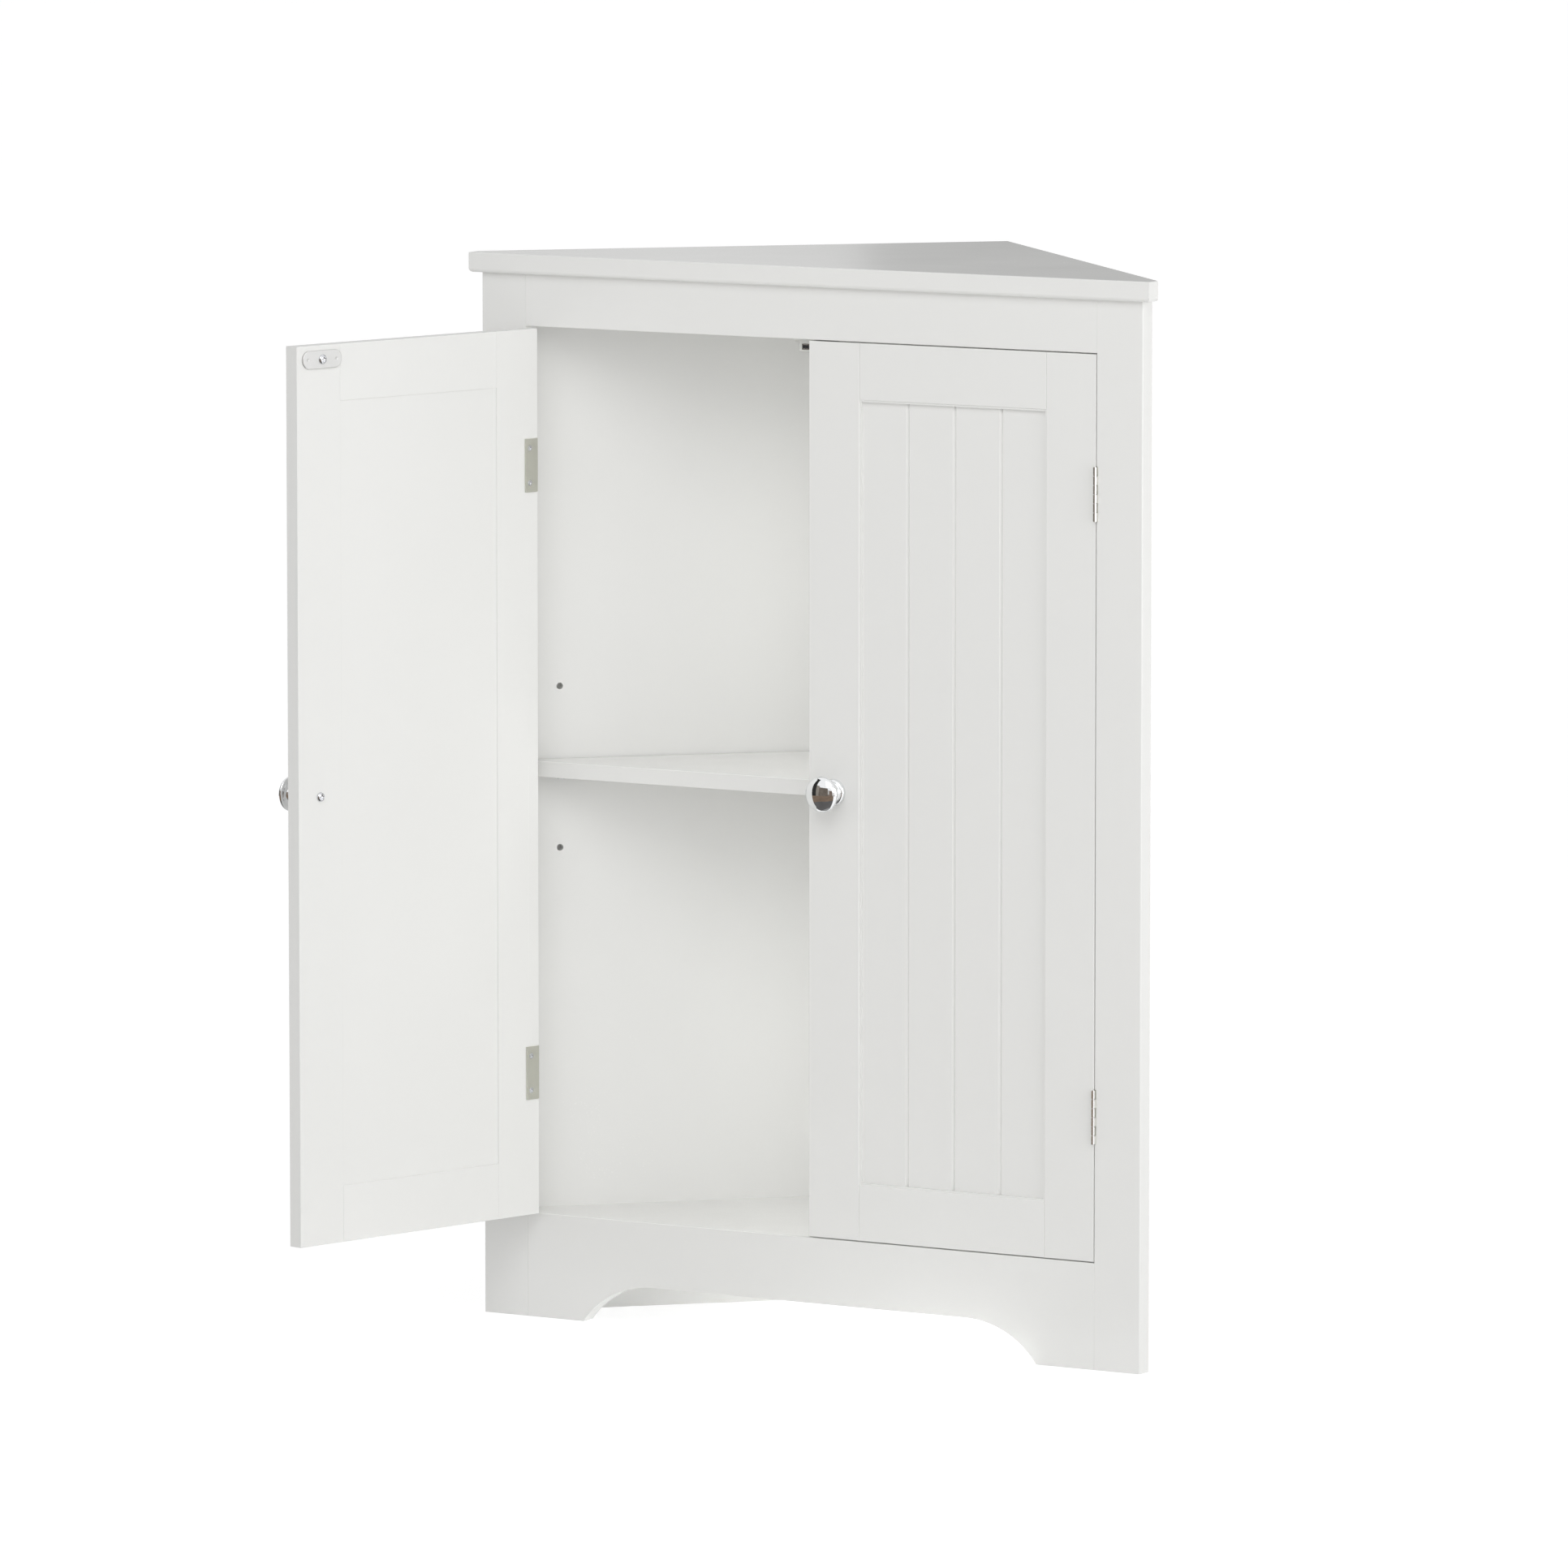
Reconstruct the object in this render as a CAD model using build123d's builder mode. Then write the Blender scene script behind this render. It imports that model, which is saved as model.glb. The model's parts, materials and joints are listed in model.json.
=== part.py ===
from build123d import *
import os
from math import cos, radians, sin, sqrt

os.makedirs("parts", exist_ok=True)

# Corner cabinet with two doors. Millimetres, +Z up, +X to the right as seen from the front.
# The origin is the rear corner at floor level, where the outer faces of the two side panels meet.
# The two walls of the room's corner run at 45 degrees to the front, along -X -Y and +X -Y.

# Carcass
cabinet_height = 800.0
frame_width = 564.0
stile_width = 38.2
top_rail_height = 39.0
apron_height = 79.0
panel_thickness = 12.0
frame_edge_radius = 1.0
joint_edge_radius = 0.4
opening_edge_radius = 0.8

# Arched cut-out in the apron
arch_height = 30.0
arch_foot_width = 48.8
arch_end_radius = 75.0

# Top panel
top_thickness = 15.0
top_end_overhang = 8.0
top_front_overhang = 6.0
top_wall_overhang = 1.5
top_upper_radius = 0.8
top_lower_radius = 3.0

# Shelf and its supports
shelf_thickness = 12.0
shelf_underside_height = 406.5
shelf_front_gap = 1.5
shelf_side_gap = 1.3
shelf_clip_length = 12.5
shelf_edge_radius = 0.8
peg_radius = 2.45
peg_clearance = 0.05
peg_length = 8.0
peg_end_clearance = 1.0
peg_rise = 5.5
peg_pitch = 61.0
peg_front_inset = 36.8
peg_rear_distance = 80.0
support_width = 9.0
support_plate_thickness = 1.0
support_plate_rise = 5.0
support_ledge_thickness = 2.5
support_ledge_reach = 11.0

# Corner cleats behind the stiles
cleat_width = 13.0
cleat_side_depth = 8.0

# Doors
door_thickness = 12.0
door_side_gap = 0.7
door_meeting_gap = 2.6
door_height_gap = 0.8
lock_stile_width = 43.0
hinge_stile_width = 41.5
door_rail_height = 42.0
door_edge_radius = 0.8
door_back_edge_radius = 0.3
panel_recess = 3.4
cove_radius = 1.2
door_panel_thickness = 5.5
panel_back_step = 0.8
panel_groove_depth = 8.0
panel_edge_gap = 0.5
board_count = 4
board_groove_width = 3.0
board_groove_depth = 1.5
left_door_opening = 104.7

# Hinges
hinge_height = 40.0
upper_hinge_drop = 101.7
lower_hinge_rise = 107.2
knuckle_count = 6
knuckle_gap = 0.4
hinge_setoff = 2.0
leaf_thickness = 1.2
leaf_depth = 12.0
leaf_wrap_width = 13.0
leaf_bend_radius = 1.5
leaf_end_clearance = 0.1
hinge_pin_radius = 0.8
hinge_pin_clearance = 0.05
hinge_pin_overhang = 0.3
leaf_screw_spacing = 26.0
leaf_screw_inset = 6.0
leaf_screw_wrap_inset = 8.8
leaf_screw_length = 9.0
leaf_screw_radius = 1.25
leaf_screw_head_radius = 2.1

# Knobs
knob_head_radius = 13.5
knob_base_radius = 10.0
knob_neck_radius = 6.0
knob_rim_height = 18.0
knob_height = 24.0
knob_screw_radius = 2.0
knob_screw_head_radius = 3.5
knob_screw_head_height = 2.2
knob_screw_reach = 8.0

# Magnetic catch and strike plates
catch_block_width = 29.0
catch_block_height = 16.0
catch_block_depth = 14.0
catch_flange_width = 38.0
catch_flange_height = 21.0
catch_flange_thickness = 3.0
catch_flange_lap = 9.0
catch_wall = 1.05
catch_air_gap = 0.3
magnet_length = 11.0
magnet_depth = 9.0
magnet_thickness = 2.4
magnet_offset = 7.0
pole_thickness = 1.0
catch_pocket_clearance = 0.1
catch_screw_spacing = 30.0
catch_screw_drop = 6.0
catch_screw_radius = 1.5
catch_screw_head_radius = 2.8
catch_screw_head_height = 1.6
catch_screw_length = 12.0
strike_length = 38.6
strike_height = 13.5
strike_thickness = 1.2
strike_edge_inset = 24.5
strike_drop = 10.4
strike_dimple_spacing = 28.0
strike_dimple_radius = 1.2
strike_screw_head_radius = 3.6
strike_screw_head_height = 2.0
strike_screw_length = 9.0
strike_screw_radius = 1.5

# Knock-down fixings inside the boards
fixing_clearance = 0.1
cam_radius = 6.0
cam_depth = 10.0
cam_distance = 24.0
cam_bolt_radius = 2.5
cam_bolt_grip = 7.0
cam_slot_radius = 3.0
cam_front_inset = 75.0
cam_rear_distance = 110.0
cam_rail_offset = 120.0
dowel_radius = 3.0
dowel_length = 18.0
dowel_front_inset = 170.0
dowel_rear_distance = 60.0
dowel_rail_offset = 60.0
dowel_edge_inset = 12.0
corner_screw_radius = 2.25
corner_screw_head_radius = 4.3
corner_screw_length = 42.0
corner_screw_end_inset = 60.0
recess_depth = 0.9

# Worked out from the sizes above
root_two = sqrt(2)
frame_thickness = door_thickness + strike_thickness + catch_air_gap
half_frame = frame_width / 2
frame_back = -half_frame
frame_front = frame_back - frame_thickness
frame_height = cabinet_height - top_thickness
half_opening = half_frame - stile_width
opening_top = frame_height - top_rail_height
inner_offset = panel_thickness * root_two
inner_front = half_frame - inner_offset
side_length = inner_front * root_two
bottom_panel_base = apron_height - panel_thickness
shelf_front = frame_back + shelf_front_gap
peg_height = shelf_underside_height + peg_rise
peg_distances = (side_length - peg_front_inset, peg_rear_distance)
cam_distances = (side_length - cam_front_inset, cam_rear_distance)
dowel_distances = (side_length - dowel_front_inset, dowel_rear_distance)

door_base = apron_height + door_height_gap
door_top = opening_top - door_height_gap
door_width = half_opening - door_side_gap - door_meeting_gap / 2
door_near = door_side_gap / 2
door_far = door_near + door_width
hinge_x = half_opening - door_side_gap / 2
hinge_y = frame_front - hinge_setoff
recess_near = door_near + hinge_stile_width
recess_far = door_far - lock_stile_width
recess_base = door_base + door_rail_height
recess_top = door_top - door_rail_height
panel_back = panel_recess + door_panel_thickness
field_back = door_thickness - panel_back_step
tongue = panel_groove_depth - panel_edge_gap
knuckle_radius = door_near + leaf_thickness
knuckle_pitch = hinge_height / knuckle_count
hinge_bases = {
    "upper": door_top - upper_hinge_drop - hinge_height / 2,
    "lower": door_base + lower_hinge_rise - hinge_height / 2,
}
knob_reach = door_far - lock_stile_width / 2
knob_level = (door_base + door_top) / 2
strike_level = door_top - strike_drop
magnet_level = strike_level + strike_height / 2 - pole_thickness - magnet_thickness / 2
magnet_rise = magnet_thickness / 2 + pole_thickness
catch_base = magnet_level - magnet_rise - catch_pocket_clearance - catch_wall
catch_top = catch_base + catch_block_height
flange_base = catch_top - catch_flange_lap
flange_top = flange_base + catch_flange_height

up = Vector(0, 0, 1)
rearward = Vector(0, 1, 0)
sides = {"left": -1, "right": 1}


def block(low, high, mode=Mode.ADD):
    """A box between two opposite corners, in the open part's own coordinates."""
    size = [end - start for start, end in zip(low, high)]
    middle = tuple((start + end) / 2 for start, end in zip(low, high))
    with Locations(middle):
        Box(*size, mode=mode)


def bore(origin, direction, radius, depth):
    """A round hole cut into the open part from a point, along a direction."""
    with BuildSketch(Plane(origin=origin, z_dir=direction)) as mouth:
        Circle(radius)
    extrude(mouth.sketch, amount=depth, mode=Mode.SUBTRACT)


def turning_plane(origin, outward):
    """The plane of a turned piece's profile: local X is the radius, local Y is outward."""
    radial = up if abs(outward.Z) < 0.5 else Vector(1, 0, 0)
    return Plane(origin=origin, x_dir=radial, z_dir=radial.cross(outward))


def turn(origin, outward, outline, mode=Mode.ADD):
    """A solid turned in the open part from (radius, height) points that start and end on the axis."""
    with BuildSketch(turning_plane(origin, outward)) as profile:
        with BuildLine():
            Polyline(*outline, close=True)
        make_face()
    revolve(profile.sketch, axis=Axis(origin, outward), mode=mode)


def cross_recess(origin, outward, reach):
    """A cross-shaped driver recess sunk into a screw head whose top is at the origin."""
    with BuildSketch(Plane(origin=origin, z_dir=-outward)) as cross:
        Rectangle(2 * reach, reach / 2)
        Rectangle(reach / 2, 2 * reach)
    extrude(cross.sketch, amount=recess_depth, mode=Mode.SUBTRACT)


def screw(origin, outward, radius, head_radius, length, head_height=0.0):
    """A wood screw: a pan head of the given height, or a countersunk head where it is 0."""
    if head_height:
        edge = [(0, head_height), (head_radius * 0.6, head_height), (head_radius, head_height * 0.35)]
        head = edge + [(head_radius, 0), (radius, 0)]
    else:
        head = [(0, 0), (head_radius, 0), (radius, -(head_radius - radius))]
    turn(origin, outward, head + [(radius, 2 * radius - length), (0, -length)])
    cross_recess(origin + outward * head_height, outward, head_radius * 0.5)


def countersink(origin, outward, radius, head_radius, length):
    """The hole for a countersunk screw, with clearance all round."""
    wide = head_radius + fixing_clearance
    narrow = radius + fixing_clearance
    end = length + fixing_clearance
    outline = [(0, 0), (wide, 0), (narrow, narrow - wide), (narrow, -end), (0, -end)]
    turn(origin, outward, outline, mode=Mode.SUBTRACT)


def sink_leaf_screws(places):
    """The holes for the screws of a hinge leaf."""
    for origin, outward in places:
        countersink(origin, outward, leaf_screw_radius, leaf_screw_head_radius, leaf_screw_length)


def side_point(side, distance, height):
    """A point on a side panel's inner face, by its distance from the inner rear corner."""
    along = distance / root_two
    return Vector(sides[side] * along, -inner_offset - along, height)


def inward(side):
    """The direction from a side panel's inner face into the cabinet."""
    return Vector(-sides[side], -1, 0).normalized()


def save(piece, name):
    """Label a finished piece and write its file."""
    piece.part.label = name
    export_step(piece.part, f"parts/{name}.step")


# Fixings: where each one starts and which way it points

def cam_fixings():
    """Each cam fixing as (bolt origin, bolt direction, cam mouth, direction into the board)."""
    places = []
    bottom_level = apron_height - panel_thickness / 2
    for side in sides:
        for distance in cam_distances:
            face = side_point(side, distance, bottom_level)
            below = face + inward(side) * cam_distance
            mouth = Vector(below.X, below.Y, bottom_panel_base)
            places.append((face, inward(side), mouth, up))
            mouth = side_point(side, distance, frame_height - cam_distance)
            middle = mouth - inward(side) * (panel_thickness / 2)
            places.append((Vector(middle.X, middle.Y, frame_height), -up, mouth, -inward(side)))
        x = sides[side] * cam_rail_offset
        face = Vector(x, frame_back, bottom_level)
        mouth = Vector(x, frame_back + cam_distance, bottom_panel_base)
        places.append((face, rearward, mouth, up))
        face = Vector(x, frame_back - panel_thickness / 2, frame_height)
        mouth = Vector(x, frame_back, frame_height - cam_distance)
        places.append((face, -up, mouth, -rearward))
    return places


def board_dowels():
    """Middle and direction of each dowel that joins two boards face to edge."""
    places = []
    bottom_level = apron_height - panel_thickness / 2
    for side in sides:
        for distance in dowel_distances:
            places.append((side_point(side, distance, bottom_level), inward(side)))
            edge = side_point(side, distance, frame_height) - inward(side) * (panel_thickness / 2)
            places.append((edge, up))
        x = sides[side] * dowel_rail_offset
        places.append((Vector(x, frame_back, bottom_level), rearward))
        places.append((Vector(x, frame_back - frame_thickness / 2, frame_height), up))
    return places


def frame_dowels():
    """Middle and direction of each dowel between a rail and a stile of the front frame."""
    levels = [
        dowel_edge_inset,
        apron_height - dowel_edge_inset,
        opening_top + dowel_edge_inset,
        frame_height - dowel_edge_inset,
    ]
    depth = frame_back - frame_thickness / 2
    across = Vector(1, 0, 0)
    return [(Vector(sides[side] * half_opening, depth, z), across) for side in sides for z in levels]


def corner_screws():
    """Head and outward direction of each screw through the left panel into the right one's end."""
    middle = -panel_thickness / root_two / 2
    levels = [corner_screw_end_inset, frame_height / 2, frame_height - corner_screw_end_inset]
    return [(Vector(middle, middle, z), -inward("left")) for z in levels]


def bore_dowel(middle, direction):
    """The two blind holes of a dowel, cut as one through the open part's share."""
    half = dowel_length / 2 + fixing_clearance
    bore(middle - direction * half, direction, dowel_radius + fixing_clearance, 2 * half)


def bore_fixings():
    """Every cam, bolt and dowel hole that reaches into the open part."""
    for bolt, direction, mouth, into in cam_fixings():
        start = bolt - direction * (cam_bolt_grip + fixing_clearance)
        depth = cam_bolt_grip + fixing_clearance + cam_distance
        bore(start, direction, cam_bolt_radius + fixing_clearance, depth)
        bore(mouth, into, cam_radius + fixing_clearance, cam_depth + fixing_clearance)
    for middle, direction in board_dowels() + frame_dowels():
        bore_dowel(middle, direction)


# Carcass boards

def top_panel():
    """The top: square short ends at the front, then two edges that follow the walls."""
    front = frame_front - top_front_overhang
    rear = top_wall_overhang * root_two
    half = half_frame + top_end_overhang
    corners = [(-half, front), (half, front), (half, rear - half), (0, rear), (-half, rear - half)]
    with BuildPart() as panel:
        with BuildSketch(Plane.XY.offset(frame_height)):
            Polygon(*corners, align=None)
        extrude(amount=top_thickness)
        fillet(panel.faces().sort_by(Axis.Z)[-1].edges(), radius=top_upper_radius)
        lower = panel.faces().sort_by(Axis.Z)[0].edges()
        rear_edges = lower.sort_by(Axis.Y)[-2:]
        fillet([edge for edge in lower if edge not in rear_edges], radius=top_lower_radius)
        bore_fixings()
    return panel


def bottom_panel():
    """The floor of the lower compartment, let in between the side panels and the frame."""
    corners = [(-inner_front, frame_back), (inner_front, frame_back), (0, -inner_offset)]
    with BuildPart() as panel:
        with BuildSketch(Plane.XY.offset(bottom_panel_base)):
            Polygon(*corners, align=None)
        extrude(amount=panel_thickness)
        bore_fixings()
    return panel


def side_panel(side):
    """A side panel with bevelled front edge; the left one runs through to the right wall."""
    hand = sides[side]
    outer_front = (hand * half_frame, frame_back)
    inner_corner = (hand * inner_front, frame_back)
    shared = (inner_offset / 2, -inner_offset / 2)
    if side == "left":
        corners = [outer_front, inner_corner, shared, (0, 0)]
    else:
        corners = [outer_front, inner_corner, (0, -inner_offset), shared]
    with BuildPart() as panel:
        with BuildSketch():
            Polygon(*corners, align=None)
        extrude(amount=frame_height)
        for distance in peg_distances:
            for row in (-1, 0, 1):
                hole = side_point(side, distance, peg_height + row * peg_pitch)
                bore(hole, -inward(side), peg_radius + peg_clearance, peg_length + peg_end_clearance)
        bore_fixings()
        sizes = (corner_screw_radius, corner_screw_head_radius, corner_screw_length)
        for origin, outward in corner_screws():
            countersink(origin, outward, *sizes)
    return panel


def corner_cleat(side):
    """Battens in the corner between a stile and a side panel, above and below the bottom panel."""
    hand = sides[side]
    step = cleat_side_depth
    along = (cleat_width - step) / 2
    corners = [
        (inner_front, frame_back),
        (inner_front - cleat_width, frame_back),
        (inner_front - cleat_width, frame_back + step),
        (inner_front - cleat_width + along, frame_back + step + along),
    ]
    with BuildPart() as cleat:
        for base, height in ((0, bottom_panel_base), (apron_height, frame_height - apron_height)):
            with BuildSketch(Plane.XY.offset(base)):
                Polygon(*[(hand * x, y) for x, y in corners], align=None)
            extrude(amount=height)
    return cleat


def frame_stile(side):
    """An upright of the front frame, with mortises for the two frame leaves."""
    hand = sides[side]
    near, far = sorted((hand * half_opening, hand * half_frame))
    with BuildPart() as stile:
        block((near, frame_front, 0), (far, frame_back, frame_height))
        upright = stile.faces().sort_by(Axis.Y)[0].edges().filter_by(Axis.Z).sort_by(Axis.X)
        outer, inner = (upright[0], upright[-1]) if hand < 0 else (upright[-1], upright[0])
        fillet(outer, radius=frame_edge_radius)
        fillet(inner, radius=joint_edge_radius)
        for base in hinge_bases.values():
            mortise = sorted((hand * (half_opening + leaf_thickness), hand * (half_opening - 1)))
            end = frame_front + leaf_depth + leaf_end_clearance
            top = base + hinge_height + leaf_end_clearance
            low = (mortise[0], frame_front - 1, base - leaf_end_clearance)
            block(low, (mortise[1], end, top), mode=Mode.SUBTRACT)
            sink_leaf_screws(frame_leaf_screws(side, base))
        bore_fixings()
    return stile


def frame_rail(name):
    """A rail between the stiles: the plain top rail, or the apron with its arched lower edge."""
    if name == "top":
        outline = [(-half_opening, opening_top), (half_opening, opening_top)]
        ceiling = frame_height
        ease_level = opening_top
    else:
        ceiling = ease_level = apron_height
    with BuildPart() as rail:
        with BuildSketch(Plane.XZ.offset(-frame_back)):
            with BuildLine():
                if name == "top":
                    Line(*outline)
                    ends = outline
                else:
                    ends = arch_outline()
                Polyline(ends[1], (half_opening, ceiling), (-half_opening, ceiling), ends[0])
            make_face()
        extrude(amount=frame_thickness)
        front = rail.faces().sort_by(Axis.Y)[0].edges()
        upright = front.filter_by(Axis.Z)
        fillet(upright, radius=joint_edge_radius)
        front = rail.faces().sort_by(Axis.Y)[0].edges()
        level = [e for e in front.filter_by(Axis.X) if abs(e.center().Z - ease_level) < 0.01]
        fillet(level, radius=opening_edge_radius)
        bore_fixings()
        if name == "top":
            for origin, outward in catch_screws():
                hole = origin + outward * catch_screw_head_height
                bore(hole, -outward, catch_screw_radius + fixing_clearance, catch_screw_length + 2)
    return rail


def arch_outline():
    """The apron's lower edge, foot to foot: a flat top that curves down to the floor at each end."""
    fall = arch_end_radius - arch_height
    reach = sqrt(arch_end_radius**2 - fall**2)
    flat = half_opening - arch_foot_width - reach
    middle_x = flat + arch_end_radius * sin(radians(30))
    middle_z = arch_height - arch_end_radius * (1 - cos(radians(30)))
    Line((-half_opening, 0), (-flat - reach, 0))
    ThreePointArc((-flat - reach, 0), (-middle_x, middle_z), (-flat, arch_height))
    Line((-flat, arch_height), (flat, arch_height))
    ThreePointArc((flat, arch_height), (middle_x, middle_z), (flat + reach, 0))
    Line((flat + reach, 0), (half_opening, 0))
    return [(-half_opening, 0), (half_opening, 0)]


# Hidden fixings

def dowels(places):
    """Round wooden dowels, a group of separate solids."""
    half = dowel_length / 2
    with BuildPart() as group:
        for middle, direction in places:
            start = middle - direction * half
            tip = dowel_radius - 0.5
            outline = [(0, 0), (tip, 0), (dowel_radius, 0.5), (dowel_radius, dowel_length - 0.5)]
            turn(start, direction, outline + [(tip, dowel_length), (0, dowel_length)])
    return group


def cam_bolts():
    """The bolts that screw into one board and are drawn up by a cam in the other."""
    with BuildPart() as group:
        for bolt, direction, _mouth, _into in cam_fixings():
            length = cam_distance + cam_bolt_radius / 2
            neck = cam_bolt_radius * 0.7
            outline = [
                (0, -cam_bolt_grip),
                (cam_bolt_radius, -cam_bolt_grip),
                (cam_bolt_radius, cam_distance - cam_radius),
                (neck, cam_distance - cam_radius + 0.5),
                (neck, length - 1),
                (cam_bolt_radius, length - 0.5),
                (0, length),
            ]
            turn(bolt, direction, outline)
    return group


def cam_nuts():
    """The round cams, each slotted for its bolt and with a cross recess in its face."""
    with BuildPart() as group:
        for bolt, direction, mouth, into in cam_fixings():
            turn(mouth, into, [(0, 0), (cam_radius, 0), (cam_radius, cam_depth), (0, cam_depth)])
            bore(bolt, direction, cam_slot_radius, cam_distance + cam_slot_radius)
            cross_recess(mouth, -into, cam_radius * 0.5)
    return group


def corner_screw_group():
    """The long screws that close the rear corner."""
    with BuildPart() as group:
        for origin, outward in corner_screws():
            screw(origin, outward, corner_screw_radius, corner_screw_head_radius, corner_screw_length)
    return group


# Shelf

def shelf():
    """The loose shelf: a triangle with its two sharp front corners cut off square to the sides."""
    offset = inner_offset + shelf_side_gap * root_two
    half = -shelf_front - offset
    clip = shelf_clip_length / root_two
    corners = [
        (half - 2 * clip, shelf_front),
        (half - clip, shelf_front + clip),
        (0, -offset),
        (clip - half, shelf_front + clip),
        (2 * clip - half, shelf_front),
    ]
    with BuildPart() as board:
        with BuildSketch(Plane.XY.offset(shelf_underside_height)):
            Polygon(*corners, align=None)
        extrude(amount=shelf_thickness)
        front = board.faces().sort_by(Axis.Y)[0].edges()
        fillet(front.filter_by(Axis.X), radius=shelf_edge_radius)
    return board


def shelf_supports():
    """Four angle supports: a peg in the side panel, a plate on its face and a ledge under the shelf."""
    half = support_width / 2
    with BuildPart() as group:
        for side in sides:
            for distance in peg_distances:
                origin = side_point(side, distance, peg_height)
                out = inward(side)
                along = up.cross(out)
                face = Plane(origin=origin, x_dir=along, z_dir=out)
                low = -peg_rise - support_ledge_thickness
                with BuildSketch(face) as plate:
                    with Locations((0, (low + support_plate_rise) / 2)):
                        RectangleRounded(support_width, support_plate_rise - low, 1.0)
                extrude(plate.sketch, amount=support_plate_thickness)
                with BuildSketch(face) as ledge:
                    with Locations((0, low + support_ledge_thickness / 2)):
                        Rectangle(2 * half, support_ledge_thickness)
                extrude(ledge.sketch, amount=support_ledge_reach)
                with BuildSketch(face) as peg:
                    Circle(peg_radius)
                extrude(peg.sketch, amount=-peg_length)
    return group


# Doors: local X runs along the door's width, local Y from its front face to its back, Z is up

class Door:
    """Where one door stands. Its plane has its origin on the front face, in line with the hinge."""

    def __init__(self, side, opening):
        self.side = side
        self.hand = -sides[side]
        turned = radians(opening) * self.hand
        self.x_dir = Vector(cos(turned), -sin(turned), 0)
        self.back = Vector(sin(turned), cos(turned), 0)
        self.axis = Vector(sides[side] * hinge_x, hinge_y, 0)
        self.plane = Plane(origin=self.axis + self.back * hinge_setoff, x_dir=self.x_dir, z_dir=up)

    def point(self, reach, depth, height):
        """A point by its distance from the hinge line, depth behind the front face and height."""
        return self.plane.origin + self.x_dir * (self.hand * reach) + self.back * depth + up * height

    def block(self, low, high, mode=Mode.ADD):
        """A box by (reach, depth, height) corners, in a part built on the door's plane."""
        first, last = sorted((self.hand * low[0], self.hand * high[0]))
        block((first, low[1], low[2]), (last, high[1], high[2]), mode=mode)

    def member(self, piece, low, high):
        """A board of the door's frame with eased edges on its front and back faces."""
        self.block(low, high)
        through = Axis(self.plane.origin, self.back)
        fillet(piece.faces().sort_by(through)[0].edges(), radius=door_edge_radius)
        fillet(piece.faces().sort_by(through)[-1].edges(), radius=door_back_edge_radius)


def panel_space(door):
    """The space in front of the panel, whose rounded far edges shape the coves of the frame."""
    with BuildPart(door.plane) as space:
        door.block((recess_near, -1, recess_base), (recess_far, panel_recess, recess_top))
        floor = space.faces().sort_by(Axis(door.plane.origin, door.back))[-1]
        fillet(floor.edges(), radius=cove_radius)
    return space.part


def cut_cove(door, low, high):
    """A strip along a board's inner edge, hollowed to a cove that runs out at the panel."""
    door.block((low[0], door_edge_radius, low[1]), (high[0], panel_recess, high[1]))
    add(panel_space(door), mode=Mode.SUBTRACT)


def door_stile(door, kind):
    """An upright of a door's frame, coved and grooved along its inner edge."""
    if kind == "hinge":
        near, far = door_near, recess_near
        cove_near = far
        groove_near, groove_far = far - panel_groove_depth, far + 1
    else:
        near, far = recess_far, door_far
        cove_near = near - cove_radius
        groove_near, groove_far = near - 1, near + panel_groove_depth
    with BuildPart(door.plane) as stile:
        door.member(stile, (near, 0, door_base), (far, door_thickness, door_top))
        cut_cove(door, (cove_near, recess_base), (cove_near + cove_radius, recess_top))
        door.block(
            (groove_near, panel_recess, door_base - 1),
            (groove_far, panel_back, door_top + 1),
            mode=Mode.SUBTRACT,
        )
        if kind == "hinge":
            for base in hinge_bases.values():
                top = base + hinge_height + leaf_end_clearance
                door.block(
                    (near - 1, -1, base - leaf_end_clearance),
                    (near + leaf_thickness, door_thickness + 1, top),
                    mode=Mode.SUBTRACT,
                )
                sink_leaf_screws(door_leaf_screws(door, base))
        else:
            hole = door.point(knob_reach, -1, knob_level)
            bore(hole, door.back, knob_screw_radius + fixing_clearance, door_thickness + 2)
            hole = door.point(door_far - strike_edge_inset, door_thickness + 1, strike_level)
            bore(hole, -door.back, strike_screw_radius + fixing_clearance, strike_screw_length + 1)
    return stile


def door_rail(door, kind):
    """A rail of a door's frame, with a cove, a tongue at each end and a groove for the panel."""
    if kind == "top":
        base, top = recess_top, door_top
        cove_base = base - cove_radius
        groove_base, groove_top = base - 1, base + panel_groove_depth
    else:
        base, top = door_base, recess_base
        cove_base = top
        groove_base, groove_top = top - panel_groove_depth, top + 1
    with BuildPart(door.plane) as rail:
        door.member(rail, (recess_near, 0, base), (recess_far, door_thickness, top))
        cove_far = recess_far - cove_radius
        cut_cove(door, (recess_near + cove_radius, cove_base), (cove_far, cove_base + cove_radius))
        door.block((recess_near - tongue, panel_recess, base), (recess_far + tongue, panel_back, top))
        door.block(
            (recess_near - tongue - 1, panel_recess, groove_base),
            (recess_far + tongue + 1, panel_back, groove_top),
            mode=Mode.SUBTRACT,
        )
    return rail


def door_panel(door):
    """The panel: a thin rim in the frame's grooves, and a thicker field nearly level with its back.

    V grooves divide its front into boards.
    """
    with BuildPart(door.plane) as panel:
        door.block(
            (recess_near - tongue, panel_recess, recess_base - tongue),
            (recess_far + tongue, panel_back, recess_top + tongue),
        )
        door.block(
            (recess_near, panel_recess, recess_base),
            (recess_far, field_back, recess_top),
        )
        pitch = (recess_far - recess_near) / board_count
        half = board_groove_width / 2
        for index in range(1, board_count):
            centre = door.hand * (recess_near + index * pitch)
            root = panel_recess + board_groove_depth
            corners = [(centre - half, panel_recess), (centre + half, panel_recess), (centre, root)]
            with BuildSketch(door.plane.offset(recess_base - tongue)) as groove:
                Polygon(*corners, align=None)
            extrude(groove.sketch, amount=recess_top - recess_base + 2 * tongue, mode=Mode.SUBTRACT)
    return panel


# Hinges

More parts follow.
